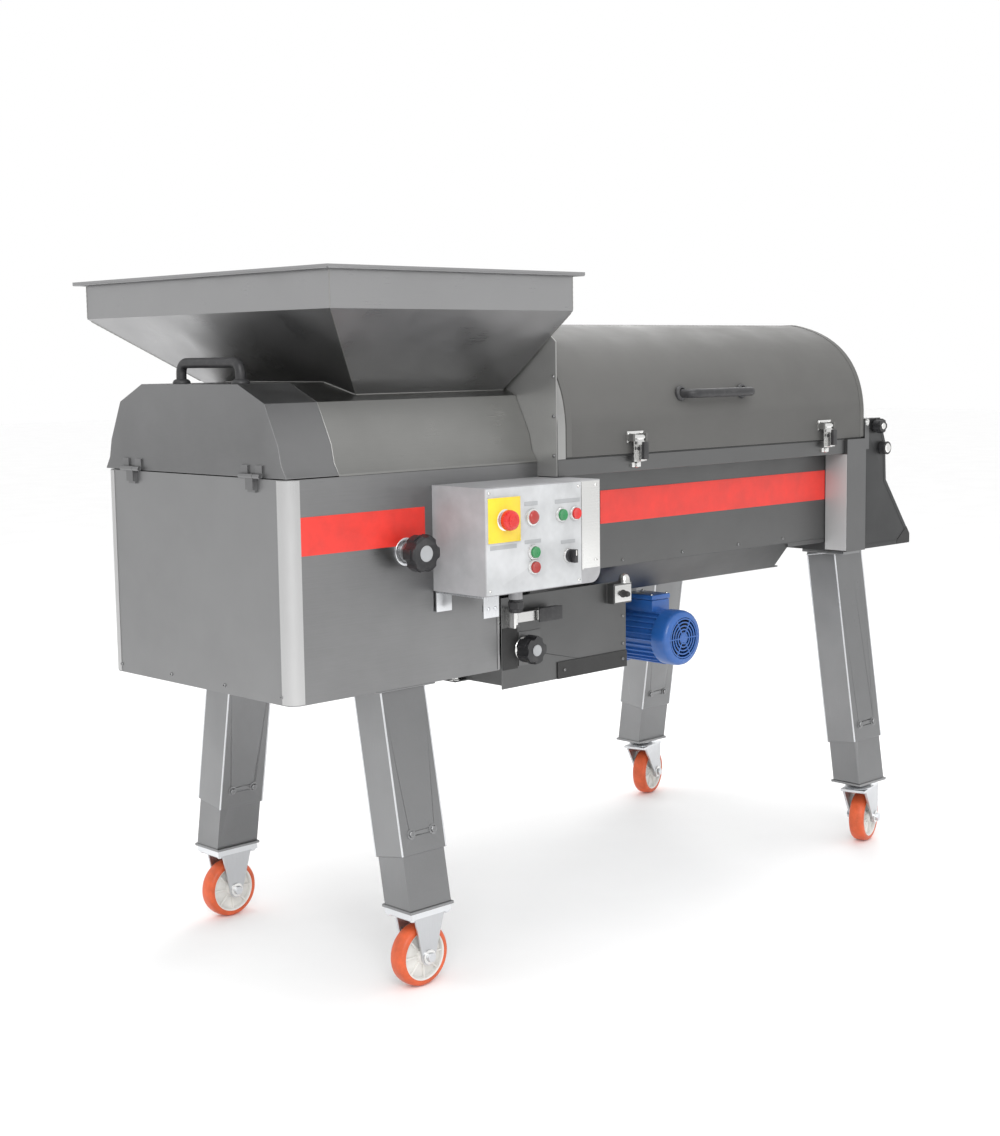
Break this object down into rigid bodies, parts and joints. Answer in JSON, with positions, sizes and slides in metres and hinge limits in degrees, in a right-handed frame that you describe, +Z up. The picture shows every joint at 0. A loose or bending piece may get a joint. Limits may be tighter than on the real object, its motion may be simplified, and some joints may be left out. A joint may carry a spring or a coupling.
{
  "type": "grape destemmer crusher",
  "caption": "Mobile stainless machine with a feed hopper, auger, perforated drum with beater shaft, slide-out roller crusher, stalk chute, control box and caster legs.",
  "frame": {"origin": "centre of the machine's footprint on the floor", "axes": "+X from the feed end towards the stalk chute, +Y towards the hinged rear of the drum hood, +Z up; the control box faces -Y"},
  "size_m": [1.937, 0.902, 1.385],
  "materials": {
    "brushed": "brushed satin stainless sheet",
    "polished": "bright ground stainless",
    "zinc": "satin zinc-plated steel",
    "red_film": "satin self-coloured vinyl stripe",
    "panel_grey": "satin light-grey overlay",
    "box_grey": "satin grey powder coat",
    "black_plastic": "textured black plastic",
    "blue_paint": "satin blue enamel",
    "grey_paint": "satin grey enamel",
    "cast": "machined cast iron",
    "belt_rubber": "matte black rubber",
    "roller_rubber": "food-grade dark rubber",
    "red_plastic": "glossy red plastic",
    "green_plastic": "glossy green plastic",
    "orange_pu": "smooth orange polyurethane tread on a white hub"
  },
  "bodies": {
    "base": {"left_casing": "brushed", "feed_trough": "brushed", "feed_hood": "brushed", "hopper": "brushed", "bulkhead": "brushed", "drum_casing": "brushed", "drum_trough": "brushed", "end_frame": "brushed", "trim_stripes": "red_film", "leg_sleeves": "brushed", "control_box": "box_grey", "control_panel": "panel_grey", "cable_glands": "black_plastic", "drive_motor": "blue_paint", "drum_reducer": "cast", "bearing_housings": "cast", "crusher_rails": "brushed", "hinge_bases": "zinc", "drive_belt": "belt_rubber"},
    "end_lid": {"end_cover": "brushed", "end_cover_handle": "black_plastic"},
    "hood": {"drum_hood": "brushed", "hood_handle": "black_plastic"},
    "latch_left": {"hood_latch_left": "polished"},
    "latch_right": {"hood_latch_right": "polished"},
    "drum": {"destemming_drum": "polished", "feed_auger": "polished"},
    "beater": {"beater_shaft": "polished", "beater_pulley": "cast"},
    "motor_rotor": {"motor_pulley": "cast"},
    "crusher": {"crusher_frame": "brushed", "crusher_motor": "blue_paint", "crusher_gearbox": "grey_paint", "crusher_skirt": "belt_rubber"},
    "roller_a": {"roller_front": "roller_rubber"},
    "roller_b": {"roller_rear": "roller_rubber"},
    "gap_knob": {"roller_gap_knob": "black_plastic"},
    "clamp": {"crusher_clamp": "polished"},
    "estop": {"emergency_stop": "red_plastic"},
    "drum_start": {"drum_start_button": "green_plastic"},
    "drum_stop": {"drum_stop_button": "red_plastic"},
    "crusher_start": {"crusher_start_button": "green_plastic"},
    "crusher_stop": {"crusher_stop_button": "red_plastic"},
    "selector": {"selector_switch": "black_plastic"},
    "speed_dial": {"speed_knob": "black_plastic"},
    "chute": {"stalk_chute": "brushed", "chute_flap": "belt_rubber", "chute_knob": "black_plastic"},
    "leg_front_left": {"leg_insert_front_left": "brushed", "caster_fork_front_left": "zinc"},
    "wheel_front_left": {"caster_wheel_front_left": "orange_pu"},
    "leg_rear_left": {"leg_insert_rear_left": "brushed", "caster_fork_rear_left": "zinc"},
    "wheel_rear_left": {"caster_wheel_rear_left": "orange_pu"},
    "leg_front_right": {"leg_insert_front_right": "brushed"},
    "swivel_front_right": {"caster_fork_front_right": "zinc"},
    "wheel_front_right": {"caster_wheel_front_right": "orange_pu"},
    "leg_rear_right": {"leg_insert_rear_right": "brushed"},
    "swivel_rear_right": {"caster_fork_rear_right": "zinc"},
    "wheel_rear_right": {"caster_wheel_rear_right": "orange_pu"}
  },
  "joints": [
    {"name": "end_cover_hinge", "type": "hinge", "parent": "base", "child": "end_lid", "pos_m": [-0.9635, 0.031, 1.01], "axis": [0, -1, 0], "range_deg": [0, 100]},
    {"name": "drum_hood_hinge", "type": "hinge", "parent": "base", "child": "hood", "pos_m": [0.2335, 0.394, 1.012], "axis": [-1, 0, 0], "range_deg": [0, 100]},
    {"name": "hood_latch_left_swing", "type": "hinge", "parent": "hood", "child": "latch_left", "pos_m": [-0.0815, -0.337, 1.049], "axis": [-1, 0, 0], "range_deg": [0, 90]},
    {"name": "hood_latch_right_swing", "type": "hinge", "parent": "hood", "child": "latch_right", "pos_m": [0.5935, -0.337, 1.049], "axis": [-1, 0, 0], "range_deg": [0, 90]},
    {"name": "drum_spin", "type": "hinge", "parent": "base", "child": "drum", "pos_m": [0.1435, 0.031, 0.99], "axis": [1, 0, 0], "continuous": true},
    {"name": "beater_spin", "type": "hinge", "parent": "base", "child": "beater", "pos_m": [0.1435, 0.031, 0.99], "axis": [1, 0, 0], "continuous": true},
    {"name": "motor_spin", "type": "hinge", "parent": "base", "child": "motor_rotor", "pos_m": [-0.8965, 0.031, 0.69], "axis": [1, 0, 0], "continuous": true},
    {"name": "crusher_slide", "type": "slide", "parent": "base", "child": "crusher", "axis": [0, -1, 0], "range_m": [0, 0.35]},
    {"name": "roller_front_spin", "type": "hinge", "parent": "crusher", "child": "roller_a", "pos_m": [-0.2565, -0.034, 0.636], "axis": [1, 0, 0], "continuous": true},
    {"name": "roller_rear_spin", "type": "hinge", "parent": "crusher", "child": "roller_b", "pos_m": [-0.2565, 0.096, 0.636], "axis": [1, 0, 0], "continuous": true},
    {"name": "roller_gap_turn", "type": "hinge", "parent": "crusher", "child": "gap_knob", "pos_m": [-0.3665, -0.299, 0.627], "axis": [0, -1, 0], "range_deg": [0, 270]},
    {"name": "crusher_clamp_swing", "type": "hinge", "parent": "crusher", "child": "clamp", "pos_m": [-0.4065, -0.29, 0.695], "axis": [0, 0, -1], "range_deg": [0, 100]},
    {"name": "emergency_stop_press", "type": "slide", "parent": "base", "child": "estop", "axis": [0, 1, 0], "range_m": [0, 0.004], "stiffness_N_per_m": 1500},
    {"name": "drum_start_press", "type": "slide", "parent": "base", "child": "drum_start", "axis": [0, 1, 0], "range_m": [0, 0.0025], "stiffness_N_per_m": 400},
    {"name": "drum_stop_press", "type": "slide", "parent": "base", "child": "drum_stop", "axis": [0, 1, 0], "range_m": [0, 0.0025], "stiffness_N_per_m": 400},
    {"name": "crusher_start_press", "type": "slide", "parent": "base", "child": "crusher_start", "axis": [0, 1, 0], "range_m": [0, 0.0025], "stiffness_N_per_m": 400},
    {"name": "crusher_stop_press", "type": "slide", "parent": "base", "child": "crusher_stop", "axis": [0, 1, 0], "range_m": [0, 0.0025], "stiffness_N_per_m": 400},
    {"name": "selector_turn", "type": "hinge", "parent": "base", "child": "selector", "pos_m": [-0.3845, -0.429, 0.831], "axis": [0, -1, 0], "range_deg": [-45, 45]},
    {"name": "speed_dial_turn", "type": "hinge", "parent": "base", "child": "speed_dial", "pos_m": [-0.6765, -0.309, 0.853], "axis": [0, -1, 0], "range_deg": [-135, 135]},
    {"name": "chute_hinge", "type": "hinge", "parent": "base", "child": "chute", "pos_m": [0.7695, 0.031, 1.0505], "axis": [0, -1, 0], "range_deg": [0, 70]},
    {"name": "leg_front_left_extend", "type": "slide", "parent": "base", "child": "leg_front_left", "axis": [0, -0.1736, -0.9848], "range_m": [0, 0.1]},
    {"name": "wheel_front_left_spin", "type": "hinge", "parent": "leg_front_left", "child": "wheel_front_left", "pos_m": [-0.678, -0.287, 0.0625], "axis": [0, 1, 0], "continuous": true},
    {"name": "leg_rear_left_extend", "type": "slide", "parent": "base", "child": "leg_rear_left", "axis": [0, 0.1736, -0.9848], "range_m": [0, 0.1]},
    {"name": "wheel_rear_left_spin", "type": "hinge", "parent": "leg_rear_left", "child": "wheel_rear_left", "pos_m": [-0.678, 0.349, 0.0625], "axis": [0, 1, 0], "continuous": true},
    {"name": "leg_front_right_extend", "type": "slide", "parent": "base", "child": "leg_front_right", "axis": [0, -0.1392, -0.9903], "range_m": [0, 0.1]},
    {"name": "caster_front_right_swivel", "type": "hinge", "parent": "leg_front_right", "child": "swivel_front_right", "pos_m": [0.75, -0.329, 0.15], "axis": [0, 0, 1], "continuous": true},
    {"name": "wheel_front_right_spin", "type": "hinge", "parent": "swivel_front_right", "child": "wheel_front_right", "pos_m": [0.78864, -0.31865, 0.0625], "axis": [-0.2588, 0.9659, 0], "continuous": true},
    {"name": "leg_rear_right_extend", "type": "slide", "parent": "base", "child": "leg_rear_right", "axis": [0, 0.1392, -0.9903], "range_m": [0, 0.1]},
    {"name": "caster_rear_right_swivel", "type": "hinge", "parent": "leg_rear_right", "child": "swivel_rear_right", "pos_m": [0.75, 0.391, 0.15], "axis": [0, 0, 1], "continuous": true},
    {"name": "wheel_rear_right_spin", "type": "hinge", "parent": "swivel_rear_right", "child": "wheel_rear_right", "pos_m": [0.78864, 0.40135, 0.0625], "axis": [-0.2588, 0.9659, 0], "continuous": true}
  ],
  "couplings": [
    {"joint": "beater_spin", "follows": "drum_spin", "ratio": -8},
    {"joint": "motor_spin", "follows": "drum_spin", "ratio": -20},
    {"joint": "roller_rear_spin", "follows": "roller_front_spin", "ratio": -1}
  ]
}
